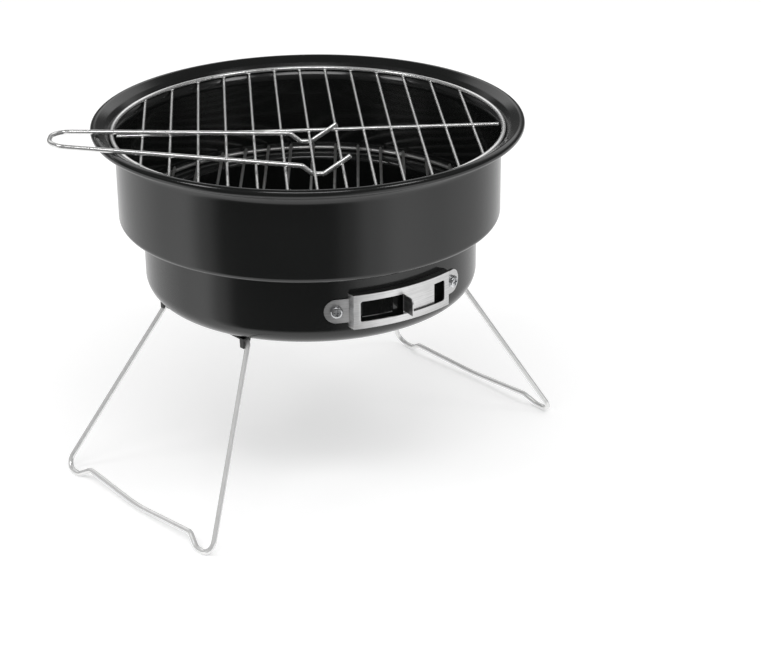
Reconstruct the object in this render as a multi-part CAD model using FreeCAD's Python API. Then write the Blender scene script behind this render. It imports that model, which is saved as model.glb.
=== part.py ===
"""Portable tabletop grill: a stepped fire bowl on two folding wire legs.

Millimetres. +Z is up, X runs from the left leg to the right leg, and -Y is the front.
The origin is on the ground, under the middle of the bowl.
"""
import FreeCAD
import Part
import math
import os

# Overall sizes
RIM_DIAMETER = 260.0
HEIGHT = 218.5
BOWL_DEPTH = 107.2

# Fire bowl
SHEET = 0.8
FLANGE_WIDTH = 13.9
STEP_WIDTH = 14.4
STEP_DEPTH = 60.2
RIM_BEAD = 5.2
RIM_CURL_TURN = 285.0
OUTER_FLANGE_SLOPE = 32.0
INNER_FLANGE_SLOPE = 52.0
FLANGE_BEND = 2.5
SEAT_PAST_WALL = 1.3
SEAT_TO_CORNER = 3.3
SHOULDER_BEND = 8.0
STEP_BEND = 3.5
FOOT_BEND = 12.4

# Clearances
SEAT_GAP = 0.25
WIRE_GAP = 0.2
HOOK_GAP = 0.3
COAL_RING_PLAY = 2.85
PIN_CLEARANCE = 0.1
PIN_HEAD_GAP = 0.25
SCREW_CLEARANCE = 0.15
SLIDER_CLEARANCE = 0.35
SLIDER_FRONT_GAP = 0.8
FACE_GAP = 0.05

# Cooking grate
GRATE_RING_WIRE = 2.6
GRATE_WIRE = 1.7
GRATE_PITCH = 16.5
GRATE_COUNT = 13
GRATE_WIRE_BEARING = 53.3
GRATE_END_INSET = 0.9
CROSSBAR_WIRE = 2.1
CROSSBAR_OFFSET = 8.0
CROSSBAR_END_GAP = 1.6
WELD = 0.12

# Charcoal grate
COAL_RING_WIRE = 2.5
COAL_WIRE = 1.9
COAL_PITCH = 14.7
COAL_COUNT = 13
COAL_WIRE_BEARING = 49.3
COAL_END_OVERHANG = 0.6

# Grate lifter, with lengths along it counted from the wire that it hooks under
LIFTER_WIRE = 2.8
LIFTER_BEARING = -39.3
LIFTER_SIDE_OFFSET = -44.2
LIFTER_LOOP_REACH = 149.0
LIFTER_LOOP_WIDTH = 26.7
LIFTER_HOOK_WIDTH = 57.0
LIFTER_LOOP_BEND = 12.0
LIFTER_DIP_LENGTH = 6.5
LIFTER_DIP_MARGIN = 1.0
LIFTER_SHOULDER_RUN = 6.0
LIFTER_TIP_RUN = 15.4
LIFTER_TIP_SLOPE = 34.5
LIFTER_HOOK_BEND = 3.0
LIFTER_RIM_CLEARANCE = 0.25

# Air vent
VENT_BEARING = -98.3
VENT_BELOW_MIDDLE = 0.35
VENT_SHEET = 0.8
VENT_STANDOFF = 5.0
VENT_HEIGHT = 21.0
VENT_SPAN = 36.0
VENT_END_SLANT = 1.2
WINDOW_SPAN = 31.6
WINDOW_HEIGHT = 12.8
WINDOW_CORNER = 1.6
EAR_RADIUS = 7.3
EAR_BEARING = 23.05
AIR_HOLE_START = -14.5
AIR_HOLE_END = -3.5
AIR_HOLE_HEIGHT = 11.0
SHUTTER_START = -0.7
SHUTTER_END = 12.0
TAB_BEARING = -0.45
TAB_REACH = 9.5
TAB_HEIGHT = 10.4
TAB_CORNER = 3.5

# Vent screws and nuts
SCREW_DIAMETER = 4.0
SCREW_HEAD_DIAMETER = 7.4
SCREW_HEAD_HEIGHT = 2.4
SCREW_RECESS_WIDTH = 1.0
SCREW_RECESS_LENGTH = 4.2
SCREW_RECESS_DEPTH = 1.3
SCREW_END_PROUD = 1.2
NUT_ACROSS_FLATS = 7.0
NUT_THICKNESS = 3.0

# Legs
LEG_WIRE = 3.2
LEG_ANGLE = 29.1
PIVOT_INSET = 20.5
LEG_TOP_Y = 40.0
FOOT_OUTER_Y = 75.5
FOOT_INNER_Y = 61.0
CROSSBAR_CORNER_Y = 51.7
FOOT_DIP = 6.0
CROSSBAR_BOW = 3.5
PIN_END_PLAY = 1.2
LEG_PIN_BEND = 3.2
FOOT_BEND_RADIUS = 7.0
CROSSBAR_BEND = 5.0
CROSSBAR_BOW_BEND = 120.0
PIN_HEAD_DIAMETER = 4.2
PIN_HEAD_LENGTH = 1.0

# Leg brackets and rivets
BRACKET_SHEET = 1.0
BRACKET_INNER_REACH = 9.5
BRACKET_INNER_Y = 20.0
BRACKET_MARGIN_Y = 1.2
BRACKET_CORNER = 2.5
EAR_GAP = 1.0
EAR_WIDTH = 7.4
STOP_DROP = 6.2
STOP_WIDTH = 3.4
RIVET_DIAMETER = 3.0
RIVET_HEAD_DIAMETER = 5.2
RIVET_HEAD_HEIGHT = 1.2
RIVET_Y = 24.6
RIVET_INSET = 2.5
RIVET_SPREAD = 7.0

# Levels that the sizes above set
RIM_RADIUS = RIM_DIAMETER / 2
BEAD_RADIUS = (RIM_BEAD - SHEET) / 2
BEAD_X = RIM_RADIUS - RIM_BEAD / 2
BEAD_Z = HEIGHT - RIM_BEAD / 2
FLOOR_BOTTOM = HEIGHT - BOWL_DEPTH
FLOOR_TOP = FLOOR_BOTTOM + SHEET
LEDGE_TOP = HEIGHT - STEP_DEPTH
UPPER_RADIUS = RIM_RADIUS - FLANGE_WIDTH
UPPER_MID_RADIUS = UPPER_RADIUS - SHEET / 2
LOWER_RADIUS = UPPER_RADIUS - STEP_WIDTH
LOWER_INNER_RADIUS = LOWER_RADIUS - SHEET
LOWER_MID_RADIUS = LOWER_RADIUS - SHEET / 2
VENT_Z = (LEDGE_TOP + FLOOR_BOTTOM) / 2 - VENT_BELOW_MIDDLE
GRATE_RING_RADIUS = UPPER_RADIUS + SEAT_PAST_WALL
COAL_RING_RADIUS = UPPER_RADIUS - SHEET - COAL_RING_PLAY - COAL_RING_WIRE / 2
BRACKET_LOW = FLOOR_BOTTOM - FACE_GAP - BRACKET_SHEET
PIVOT_X = LOWER_RADIUS - PIVOT_INSET
PIVOT_Z = BRACKET_LOW - PIN_HEAD_DIAMETER / 2 - PIN_HEAD_GAP
LEG_LENGTH = (PIVOT_Z - LEG_WIRE / 2) / math.cos(math.radians(LEG_ANGLE))
EAR_OUTER_Y = LEG_TOP_Y - LEG_WIRE / 2 - EAR_GAP
EAR_INNER_Y = EAR_OUTER_Y - BRACKET_SHEET
PIN_END_Y = EAR_INNER_Y - PIN_END_PLAY - PIN_HEAD_LENGTH

X_AXIS = FreeCAD.Vector(1, 0, 0)
Y_AXIS = FreeCAD.Vector(0, 1, 0)
Z_AXIS = FreeCAD.Vector(0, 0, 1)
ORIGIN = FreeCAD.Vector(0, 0, 0)


def vector(x, y, z):
    return FreeCAD.Vector(x, y, z)


def heading(degrees):
    """Unit vector in the XY plane, counted from +X."""
    angle = math.radians(degrees)
    return vector(math.cos(angle), math.sin(angle), 0)


def turned(shape, degrees, axis=Z_AXIS, centre=ORIGIN):
    copy = shape.copy()
    copy.rotate(centre, axis, degrees)
    return copy


def joined(shapes):
    """One solid from touching shapes, without the seams between them."""
    return shapes[0].fuse(shapes[1:]).removeSplitter()


def radial_cylinder(radius, inner, outer, bearing, z):
    """Cylinder along a radius of the bowl, from one distance to another."""
    start = heading(bearing) * inner + Z_AXIS * z
    return Part.makeCylinder(radius, outer - inner, start, heading(bearing))


def shell_sector(inner, outer, bottom, top, start, end):
    """Part of a tube about Z, between two bearings."""
    ring = Part.makeCylinder(outer, top - bottom, vector(0, 0, bottom), Z_AXIS, end - start)
    ring = ring.cut(Part.makeCylinder(inner, top - bottom, vector(0, 0, bottom)))
    return turned(ring, start)


class SheetPath:
    """Middle line of bent sheet, drawn step by step in the XZ plane."""

    def __init__(self, x, z, degrees):
        self.x = x
        self.z = z
        self.angle = math.radians(degrees)
        self.steps = []

    def line(self, length):
        self.steps.append(("line", self.x, self.z, self.angle, length, 0.0))
        self.x += length * math.cos(self.angle)
        self.z += length * math.sin(self.angle)

    def line_to_x(self, x):
        self.line((x - self.x) / math.cos(self.angle))

    def line_to_z(self, z):
        self.line((z - self.z) / math.sin(self.angle))

    def arc(self, radius, degrees):
        """Turn left where the angle is positive, and right where it is negative."""
        turn = math.radians(degrees)
        self.steps.append(("arc", self.x, self.z, self.angle, radius, turn))
        side = math.copysign(radius, turn)
        self.x += side * (math.sin(self.angle + turn) - math.sin(self.angle))
        self.z -= side * (math.cos(self.angle + turn) - math.cos(self.angle))
        self.angle += turn

    def side(self, offset):
        """Edges at a distance to the left of the middle line."""
        edges = []
        for kind, x, z, angle, size, turn in self.steps:
            def point(along):
                side = math.copysign(size, turn)
                px = x + side * (math.sin(angle + along) - math.sin(angle))
                pz = z - side * (math.cos(angle + along) - math.cos(angle))
                return vector(px - offset * math.sin(angle + along), 0, pz + offset * math.cos(angle + along))
            if kind == "arc":
                edges.append(Part.Arc(point(0.0), point(turn / 2), point(turn)).toShape())
            else:
                shift = vector(-offset * math.sin(angle), 0, offset * math.cos(angle))
                start = vector(x, 0, z) + shift
                end = start + vector(math.cos(angle), 0, math.sin(angle)) * size
                edges.append(Part.LineSegment(start, end).toShape())
        return edges

    def face(self, sheet):
        left = self.side(sheet / 2)
        right = self.side(-sheet / 2)
        caps = []
        for end in (0, -1):
            left_end = left[end].Vertexes[end].Point
            right_end = right[end].Vertexes[end].Point
            caps.append(Part.LineSegment(left_end, right_end))
        edges = left + right + [cap.toShape() for cap in caps]
        return Part.Face(Part.Wire(Part.__sortEdges__(edges)))


def bent_wire(points, bends, diameter):
    """Round wire through corner points, with a bend radius at each inner corner."""
    edges = []
    start = points[0]
    for corner, after, bend in zip(points[1:-1], points[2:], bends):
        into = (corner - start).normalize()
        away = (after - corner).normalize()
        turn = into.getAngle(away)
        reach = bend * math.tan(turn / 2)
        first = corner - into * reach
        last = corner + away * reach
        inward = (away - into).normalize()
        middle = corner + inward * (bend / math.cos(turn / 2) - bend)
        edges.append(Part.LineSegment(start, first).toShape())
        edges.append(Part.Arc(first, middle, last).toShape())
        start = last
    edges.append(Part.LineSegment(start, points[-1]).toShape())
    path = Part.Wire(edges)
    direction = (points[1] - points[0]).normalize()
    profile = Part.Wire(Part.makeCircle(diameter / 2, points[0], direction))
    return path.makePipeShell([profile], True, False)


def bowl_profile():
    """Sheet from the end of the rolled bead, over the rim, down to the middle of the floor."""
    first_angle = 90.0 + OUTER_FLANGE_SLOPE - RIM_CURL_TURN
    start_x = BEAD_X + BEAD_RADIUS * math.cos(math.radians(first_angle))
    start_z = BEAD_Z + BEAD_RADIUS * math.sin(math.radians(first_angle))
    path = SheetPath(start_x, start_z, first_angle + 90.0)
    path.arc(BEAD_RADIUS, RIM_CURL_TURN)
    corner_x, corner_z = flange_corner()
    half_turn = math.radians(INNER_FLANGE_SLOPE - OUTER_FLANGE_SLOPE) / 2
    reach = FLANGE_BEND * math.tan(half_turn)
    path.line_to_x(corner_x + reach * math.cos(math.radians(OUTER_FLANGE_SLOPE)))
    path.arc(FLANGE_BEND, INNER_FLANGE_SLOPE - OUTER_FLANGE_SLOPE)
    wall_turn = 90.0 - INNER_FLANGE_SLOPE
    wall_reach = SHOULDER_BEND * math.tan(math.radians(wall_turn) / 2)
    path.line_to_x(UPPER_MID_RADIUS + wall_reach * math.cos(math.radians(INNER_FLANGE_SLOPE)))
    path.arc(SHOULDER_BEND, wall_turn)
    ledge_z = LEDGE_TOP - SHEET / 2
    path.line_to_z(ledge_z + STEP_BEND)
    path.arc(STEP_BEND, -90.0)
    path.line_to_x(LOWER_MID_RADIUS + STEP_BEND)
    path.arc(STEP_BEND, 90.0)
    path.line_to_z(FLOOR_BOTTOM + SHEET / 2 + FOOT_BEND)
    path.arc(FOOT_BEND, -90.0)
    path.line_to_x(0.0)
    return path.face(SHEET)


def flange_corner():
    """Where the two slopes of the rim's funnel meet, on the sheet's middle line.

    The inner slope passes under the grate's ring where the ring sits, and the outer
    slope runs to the top of the bead.
    """
    outer = math.radians(OUTER_FLANGE_SLOPE)
    top_x = BEAD_X - BEAD_RADIUS * math.sin(outer)
    top_z = BEAD_Z + BEAD_RADIUS * math.cos(outer)
    corner_x = GRATE_RING_RADIUS + GRATE_RING_WIRE / 2 + SEAT_TO_CORNER
    return corner_x, top_z - (top_x - corner_x) * math.tan(outer)


def grate_ring_level():
    """Height of the cooking grate's ring, in the funnel of the rim."""
    inner = math.radians(INNER_FLANGE_SLOPE)
    lift = GRATE_RING_WIRE / 2 + SHEET / 2 + SEAT_GAP
    corner_x, corner_z = flange_corner()
    contact_x = GRATE_RING_RADIUS + lift * math.sin(inner)
    contact_z = corner_z - (corner_x - contact_x) * math.tan(inner)
    return contact_z + lift * math.cos(inner)


GRATE_RING_Z = grate_ring_level()
GRATE_WIRE_Z = GRATE_RING_Z - (GRATE_RING_WIRE + GRATE_WIRE) / 2 + WELD
CROSSBAR_Z = GRATE_WIRE_Z + (GRATE_WIRE + CROSSBAR_WIRE) / 2 - WELD
COAL_RING_Z = LEDGE_TOP + SEAT_GAP + COAL_RING_WIRE / 2
COAL_WIRE_Z = COAL_RING_Z + (COAL_RING_WIRE + COAL_WIRE) / 2 - WELD


def rivet_places():
    """Centres of the rivets, two for each of the four brackets."""
    for sign_x in (-1, 1):
        for sign_y in (-1, 1):
            for step in (-0.5, 0.5):
                yield vector(sign_x * (PIVOT_X - RIVET_INSET + step * RIVET_SPREAD), sign_y * RIVET_Y, 0)


def make_fire_bowl():
    bowl = bowl_profile().revolve(ORIGIN, Z_AXIS, 360)
    hole_start = VENT_BEARING + AIR_HOLE_START
    hole_end = VENT_BEARING + AIR_HOLE_END
    low = VENT_Z - AIR_HOLE_HEIGHT / 2
    high = VENT_Z + AIR_HOLE_HEIGHT / 2
    reach = 3 * SHEET
    inner = LOWER_INNER_RADIUS - reach
    outer = LOWER_RADIUS + reach
    cuts = [shell_sector(inner, outer, low, high, hole_start, hole_end)]
    for side in (-1, 1):
        bearing = VENT_BEARING + side * EAR_BEARING
        radius = SCREW_DIAMETER / 2 + SCREW_CLEARANCE
        cuts.append(radial_cylinder(radius, inner, outer, bearing, VENT_Z))
    for place in rivet_places():
        base = place + Z_AXIS * (FLOOR_BOTTOM - reach)
        cuts.append(Part.makeCylinder(RIVET_DIAMETER / 2 + FACE_GAP, SHEET + 2 * reach, base))
    return bowl.cut(cuts)


def parallel_wires(count, pitch, diameter, bearing, z, end_radius):
    """Straight wires across a ring, centred on the bowl's axis."""
    along = heading(bearing)
    across = heading(bearing + 90.0)
    wires = []
    for index in range(count):
        offset = (index - (count - 1) / 2) * pitch
        half = math.sqrt(end_radius ** 2 - offset ** 2)
        start = across * offset - along * half + Z_AXIS * z
        wires.append(Part.makeCylinder(diameter / 2, 2 * half, start, along))
    return Part.makeCompound(wires)


def make_ring(radius, wire, z):
    return Part.makeTorus(radius, wire / 2, vector(0, 0, z))


def make_cooking_grate_crossbar():
    """The cross wire lies on the others, a little in front of the middle."""
    along = heading(GRATE_WIRE_BEARING - 90.0)
    across = heading(GRATE_WIRE_BEARING)
    limit = GRATE_RING_RADIUS - GRATE_RING_WIRE / 2 - CROSSBAR_END_GAP
    half = math.sqrt(limit ** 2 - CROSSBAR_OFFSET ** 2)
    start = across * -CROSSBAR_OFFSET - along * half + Z_AXIS * CROSSBAR_Z
    return Part.makeCylinder(CROSSBAR_WIRE / 2, 2 * half, start, along)


def make_charcoal_grate_crossbar():
    """The cross wire under the charcoal wires, inside their ring."""
    along = heading(COAL_WIRE_BEARING - 90.0)
    half = COAL_RING_RADIUS - COAL_RING_WIRE / 2 + WELD
    z = COAL_WIRE_Z - COAL_WIRE + WELD
    return Part.makeCylinder(COAL_WIRE / 2, 2 * half, along * -half + Z_AXIS * z, along)


def lifter_arm(side):
    """Corner points of one arm, from its cut tip to the loop.

    The arm lies on the grate's wires, dips under the middle wire and rises again over
    the next one. The rear arm, side 1, meets the middle wire at the far end of its dip,
    and the front arm meets it at the near end.
    """
    along = heading(LIFTER_BEARING)
    across = heading(LIFTER_BEARING + 90.0)
    skew = math.radians(GRATE_WIRE_BEARING - 90.0 - LIFTER_BEARING)
    hook_side = LIFTER_SIDE_OFFSET + side * LIFTER_HOOK_WIDTH / 2
    loop_side = LIFTER_SIDE_OFFSET + side * LIFTER_LOOP_WIDTH / 2
    wire_at_hook = -hook_side * math.tan(skew)
    shift = side * (LIFTER_DIP_LENGTH / 2 - LIFTER_DIP_MARGIN)
    dip_start = wire_at_hook - shift - LIFTER_DIP_LENGTH / 2
    dip_end = dip_start + LIFTER_DIP_LENGTH
    shoulder = dip_start - LIFTER_SHOULDER_RUN
    tip = dip_end + LIFTER_TIP_RUN
    half_wires = (GRATE_WIRE + LIFTER_WIRE) / 2
    dip_z = GRATE_WIRE_Z - half_wires - HOOK_GAP
    shoulder_z = GRATE_WIRE_Z + half_wires + WIRE_GAP
    tip_z = dip_z + LIFTER_TIP_RUN * math.tan(math.radians(LIFTER_TIP_SLOPE))
    rim_z = HEIGHT + LIFTER_WIRE / 2 + LIFTER_RIM_CLEARANCE
    rim_u = -math.sqrt(BEAD_X ** 2 - loop_side ** 2)
    climb = (rim_z - shoulder_z) / (shoulder - rim_u)
    loop_z = shoulder_z + climb * (shoulder + LIFTER_LOOP_REACH)

    def place(u, v, z):
        return along * u + across * v + Z_AXIS * z

    return [
        place(tip, hook_side, tip_z),
        place(dip_end, hook_side, dip_z),
        place(dip_start, hook_side, dip_z),
        place(shoulder, hook_side, shoulder_z),
        place(-LIFTER_LOOP_REACH, loop_side, loop_z),
    ]


def make_grate_lifter():
    rear = lifter_arm(1)
    front = lifter_arm(-1)
    hook = [LIFTER_HOOK_BEND, LIFTER_HOOK_BEND, LIFTER_HOOK_BEND]
    bends = hook + [LIFTER_LOOP_BEND, LIFTER_LOOP_BEND] + hook
    return bent_wire(rear + front[::-1], bends, LIFTER_WIRE)


def slanted_sector(inner, outer, bottom, top, inner_half, outer_half):
    """Block between two radii, whose ends slant from one half span to the other."""
    inner_ends = [heading(side * inner_half) * inner for side in (-1, 1)]
    outer_ends = [heading(side * outer_half) * outer for side in (-1, 1)]
    edges = [
        Part.Arc(inner_ends[0], X_AXIS * inner, inner_ends[1]).toShape(),
        Part.makeLine(inner_ends[1], outer_ends[1]),
        Part.Arc(outer_ends[1], X_AXIS * outer, outer_ends[0]).toShape(),
        Part.makeLine(outer_ends[0], inner_ends[0]),
    ]
    plan = Part.Face(Part.Wire(edges))
    plan.translate(Z_AXIS * bottom)
    return plan.extrude(Z_AXIS * (top - bottom))


def window_cut(inner, outer, span, height, corner):
    """Window with rounded corners through a curved plate, centred on bearing 0."""
    corner_span = math.degrees(corner / outer)
    half_span = span / 2
    half = height / 2
    straight_span = half_span - corner_span
    shapes = [
        shell_sector(inner, outer, VENT_Z - half, VENT_Z + half, -straight_span, straight_span),
        shell_sector(inner, outer, VENT_Z - half + corner, VENT_Z + half - corner, -half_span, half_span),
    ]
    for side in (-1, 1):
        for level in (-1, 1):
            z = VENT_Z + level * (half - corner)
            shapes.append(radial_cylinder(corner, inner, outer, side * straight_span, z))
    return shapes


def make_vent_frame():
    """Curved channel that stands off the wall, with an ear on the wall at each end."""
    wall = LOWER_RADIUS + FACE_GAP
    front = wall + VENT_STANDOFF
    half_span = VENT_SPAN / 2
    low = VENT_Z - VENT_HEIGHT / 2
    high = VENT_Z + VENT_HEIGHT / 2
    base_half = half_span + VENT_END_SLANT
    slant = VENT_END_SLANT / VENT_STANDOFF
    slope = math.atan(math.radians(slant) * front)
    end_span = math.degrees(VENT_SHEET / math.cos(slope) / front)
    channel = slanted_sector(wall, front, low, high, base_half, half_span)
    past_wall = base_half + slant * SHEET - end_span
    hollow = slanted_sector(wall - SHEET, front - VENT_SHEET, low + VENT_SHEET, high - VENT_SHEET,
                            past_wall, half_span + slant * VENT_SHEET - end_span)
    pieces = [channel.cut(hollow)]
    for side in (-1, 1):
        near, far = sorted((side * (base_half - end_span), side * EAR_BEARING))
        ear_low = VENT_Z - EAR_RADIUS
        ear_high = VENT_Z + EAR_RADIUS
        pieces.append(shell_sector(wall, wall + VENT_SHEET, ear_low, ear_high, near, far))
        disc = radial_cylinder(EAR_RADIUS, wall - VENT_STANDOFF, front, side * EAR_BEARING, VENT_Z)
        shell = shell_sector(wall, wall + VENT_SHEET, ear_low, ear_high, -45.0, 45.0)
        pieces.append(disc.common(shell))
    frame = joined(pieces)
    cuts = window_cut(front - 2 * VENT_SHEET, front + VENT_SHEET, WINDOW_SPAN, WINDOW_HEIGHT, WINDOW_CORNER)
    for side in (-1, 1):
        radius = SCREW_DIAMETER / 2 + SCREW_CLEARANCE
        cuts.append(radial_cylinder(radius, LOWER_INNER_RADIUS, front, side * EAR_BEARING, VENT_Z))
    return turned(frame.cut(cuts), VENT_BEARING)


def make_vent_slider():
    """Curved shutter in the channel, with a thumb tab that stands out of the window."""
    wall = LOWER_RADIUS + FACE_GAP
    outer = wall + VENT_STANDOFF - VENT_SHEET - SLIDER_FRONT_GAP
    inner = outer - VENT_SHEET
    half = VENT_HEIGHT / 2 - VENT_SHEET - SLIDER_CLEARANCE
    plate = shell_sector(inner, outer, VENT_Z - half, VENT_Z + half, SHUTTER_START, SHUTTER_END)
    tab_half = math.degrees(VENT_SHEET / 2 / outer)
    tab_low = VENT_Z - TAB_HEIGHT / 2
    tab_high = VENT_Z + TAB_HEIGHT / 2
    tab_outer = outer + TAB_REACH
    tab = shell_sector(inner, tab_outer, tab_low, tab_high, TAB_BEARING - tab_half, TAB_BEARING + tab_half)
    blank = Part.makeBox(2 * TAB_CORNER, 2 * TAB_CORNER, 2 * TAB_CORNER)
    blank.translate(vector(tab_outer - TAB_CORNER, -TAB_CORNER, tab_high - TAB_CORNER))
    roller = Part.makeCylinder(TAB_CORNER, 2 * TAB_CORNER, vector(0, -TAB_CORNER, 0), Y_AXIS)
    roller.translate(vector(tab_outer - TAB_CORNER, 0, tab_high - TAB_CORNER))
    tab = tab.cut(turned(blank.cut(roller), TAB_BEARING))
    return turned(joined([plate, tab]), VENT_BEARING)


def on_radius(shape, bearing):
    """Stand a shape that is built along +Z on the vent's level, pointing outwards."""
    placed = turned(shape, 90.0, Y_AXIS)
    placed.translate(Z_AXIS * VENT_Z)
    return turned(placed, bearing)


def make_vent_screw(side):
    """Pan head screw through the ear and the wall."""
    seat = LOWER_RADIUS + 2 * FACE_GAP + VENT_SHEET
    start = nut_start() - SCREW_END_PROUD
    shank = Part.makeCylinder(SCREW_DIAMETER / 2, seat - start, vector(0, 0, start))
    head = Part.makeCylinder(SCREW_HEAD_DIAMETER / 2, SCREW_HEAD_HEIGHT, vector(0, 0, seat))
    top_edge = max(head.Edges, key=lambda edge: edge.BoundBox.ZMin)
    head = head.makeFillet(0.6 * SCREW_HEAD_HEIGHT, [top_edge])
    depth_z = seat + SCREW_HEAD_HEIGHT - SCREW_RECESS_DEPTH
    slots = []
    recess = (SCREW_RECESS_LENGTH, SCREW_RECESS_WIDTH)
    for along, across in (recess, recess[::-1]):
        corner = vector(-along / 2, -across / 2, depth_z)
        slots.append(Part.makeBox(along, across, SCREW_HEAD_HEIGHT, corner))
    screw = joined([shank, head]).cut(slots)
    return on_radius(screw, VENT_BEARING + side * EAR_BEARING)


def nut_start():
    """Distance from the bowl's axis to the nut's inner face: its corners meet the curved wall."""
    corner_radius = NUT_ACROSS_FLATS / math.sqrt(3)
    face = math.sqrt(LOWER_INNER_RADIUS ** 2 - corner_radius ** 2) - FACE_GAP
    return face - NUT_THICKNESS


def make_vent_nut(side):
    corner_radius = NUT_ACROSS_FLATS / math.sqrt(3)
    start = nut_start()
    points = []
    for index in range(7):
        points.append(heading(60.0 * index + 30.0) * corner_radius + Z_AXIS * start)
    body = Part.Face(Part.makePolygon(points)).extrude(Z_AXIS * NUT_THICKNESS)
    bore = Part.makeCylinder(SCREW_DIAMETER / 2 + FACE_GAP, NUT_THICKNESS, vector(0, 0, start))
    return on_radius(body.cut(bore), VENT_BEARING + side * EAR_BEARING)


def make_leg():
    """Right leg, bent from one wire, opened to where its bracket stops it."""
    points = [
        (PIN_END_Y, 0.0),
        (LEG_TOP_Y, 0.0),
        (FOOT_OUTER_Y, LEG_LENGTH),
        (FOOT_INNER_Y, LEG_LENGTH),
        (CROSSBAR_CORNER_Y, LEG_LENGTH - FOOT_DIP),
        (0.0, LEG_LENGTH - FOOT_DIP + CROSSBAR_BOW),
    ]
    half_bends = [LEG_PIN_BEND, FOOT_BEND_RADIUS, FOOT_BEND_RADIUS, CROSSBAR_BEND]
    mirrored = [(-y, down) for y, down in points[-2::-1]]
    outline = [vector(0, y, -down) for y, down in points + mirrored]
    bends = half_bends + [CROSSBAR_BOW_BEND] + half_bends[::-1]
    leg = bent_wire(outline, bends, LEG_WIRE)
    heads = []
    for side in (-1, 1):
        start = vector(0, side * (PIN_END_Y + PIN_HEAD_LENGTH), 0)
        heads.append(Part.makeCylinder(PIN_HEAD_DIAMETER / 2, PIN_HEAD_LENGTH, start, Y_AXIS * -side))
    leg = joined([leg] + heads)
    leg = turned(leg, -LEG_ANGLE, Y_AXIS)
    leg.translate(vector(PIVOT_X, 0, PIVOT_Z))
    return leg


def make_leg_bracket():
    """Right rear bracket: a plate on the floor, an ear for the pin and a lip that stops the leg."""
    lean = math.radians(LEG_ANGLE)
    stop_z = FLOOR_BOTTOM - STOP_DROP
    wire_reach = LEG_WIRE / 2 / math.cos(lean) + WIRE_GAP
    stop_x = PIVOT_X + (PIVOT_Z - stop_z) * math.tan(lean) + wire_reach
    outer_x = stop_x + BRACKET_SHEET
    inner_x = PIVOT_X - BRACKET_INNER_REACH
    outer_y = LEG_TOP_Y + BRACKET_MARGIN_Y
    plate = Part.makeBox(outer_x - inner_x, outer_y - BRACKET_INNER_Y, BRACKET_SHEET,
                         vector(inner_x, BRACKET_INNER_Y, BRACKET_LOW))
    corners = [edge for edge in plate.Edges if edge.BoundBox.ZLength > BRACKET_SHEET / 2]
    inner_corners = [edge for edge in corners if edge.BoundBox.XMax < PIVOT_X or edge.BoundBox.YMax < RIVET_Y]
    plate = plate.makeFillet(BRACKET_CORNER, inner_corners)
    ear_drop = BRACKET_LOW - PIVOT_Z
    tongue = Part.makeBox(EAR_WIDTH, BRACKET_SHEET, ear_drop + SHEET,
                          vector(PIVOT_X - EAR_WIDTH / 2, EAR_INNER_Y, PIVOT_Z))
    round_end = Part.makeCylinder(EAR_WIDTH / 2, BRACKET_SHEET, vector(PIVOT_X, EAR_INNER_Y, PIVOT_Z), Y_AXIS)
    keep = Part.makeBox(EAR_WIDTH, BRACKET_SHEET, EAR_WIDTH,
                        vector(PIVOT_X - EAR_WIDTH / 2, EAR_INNER_Y, BRACKET_LOW - EAR_WIDTH))
    round_end = round_end.common(keep)
    lip = Part.makeBox(BRACKET_SHEET, STOP_WIDTH, BRACKET_LOW + BRACKET_SHEET - stop_z,
                       vector(stop_x, outer_y - STOP_WIDTH, stop_z))
    bracket = joined([plate, tongue, round_end, lip])
    cuts = [Part.makeCylinder(LEG_WIRE / 2 + PIN_CLEARANCE, 2 * BRACKET_SHEET,
                              vector(PIVOT_X, EAR_INNER_Y - BRACKET_SHEET / 2, PIVOT_Z), Y_AXIS)]
    for step in (-0.5, 0.5):
        base = vector(PIVOT_X - RIVET_INSET + step * RIVET_SPREAD, RIVET_Y, BRACKET_LOW - BRACKET_SHEET)
        cuts.append(Part.makeCylinder(RIVET_DIAMETER / 2 + FACE_GAP, 3 * BRACKET_SHEET, base))
    return bracket.cut(cuts)


def make_bracket_rivets():
    """Domed heads under the brackets, and flat upset ends on the floor inside the bowl."""
    low = FLOOR_BOTTOM - 2 * FACE_GAP - BRACKET_SHEET
    high = FLOOR_TOP + FACE_GAP
    rivets = []
    for place in rivet_places():
        shank = Part.makeCylinder(RIVET_DIAMETER / 2, high - low, place + Z_AXIS * low)
        ends = []
        for start, direction in ((low, -1), (high, 1)):
            head = Part.makeCylinder(RIVET_HEAD_DIAMETER / 2, RIVET_HEAD_HEIGHT, place + Z_AXIS * start,
                                     Z_AXIS * direction)
            outer_z = start + direction * RIVET_HEAD_HEIGHT
            rims = [edge for edge in head.Edges if abs(edge.BoundBox.ZMin - outer_z) < FACE_GAP]
            rims = [edge for edge in rims if edge.BoundBox.ZLength < FACE_GAP]
            ends.append(head.makeFillet(0.7 * RIVET_HEAD_HEIGHT, rims))
        rivets.append(joined([shank] + ends))
    return Part.makeCompound(rivets)


def mirrored(shape, normal):
    return shape.mirror(ORIGIN, normal)


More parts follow.
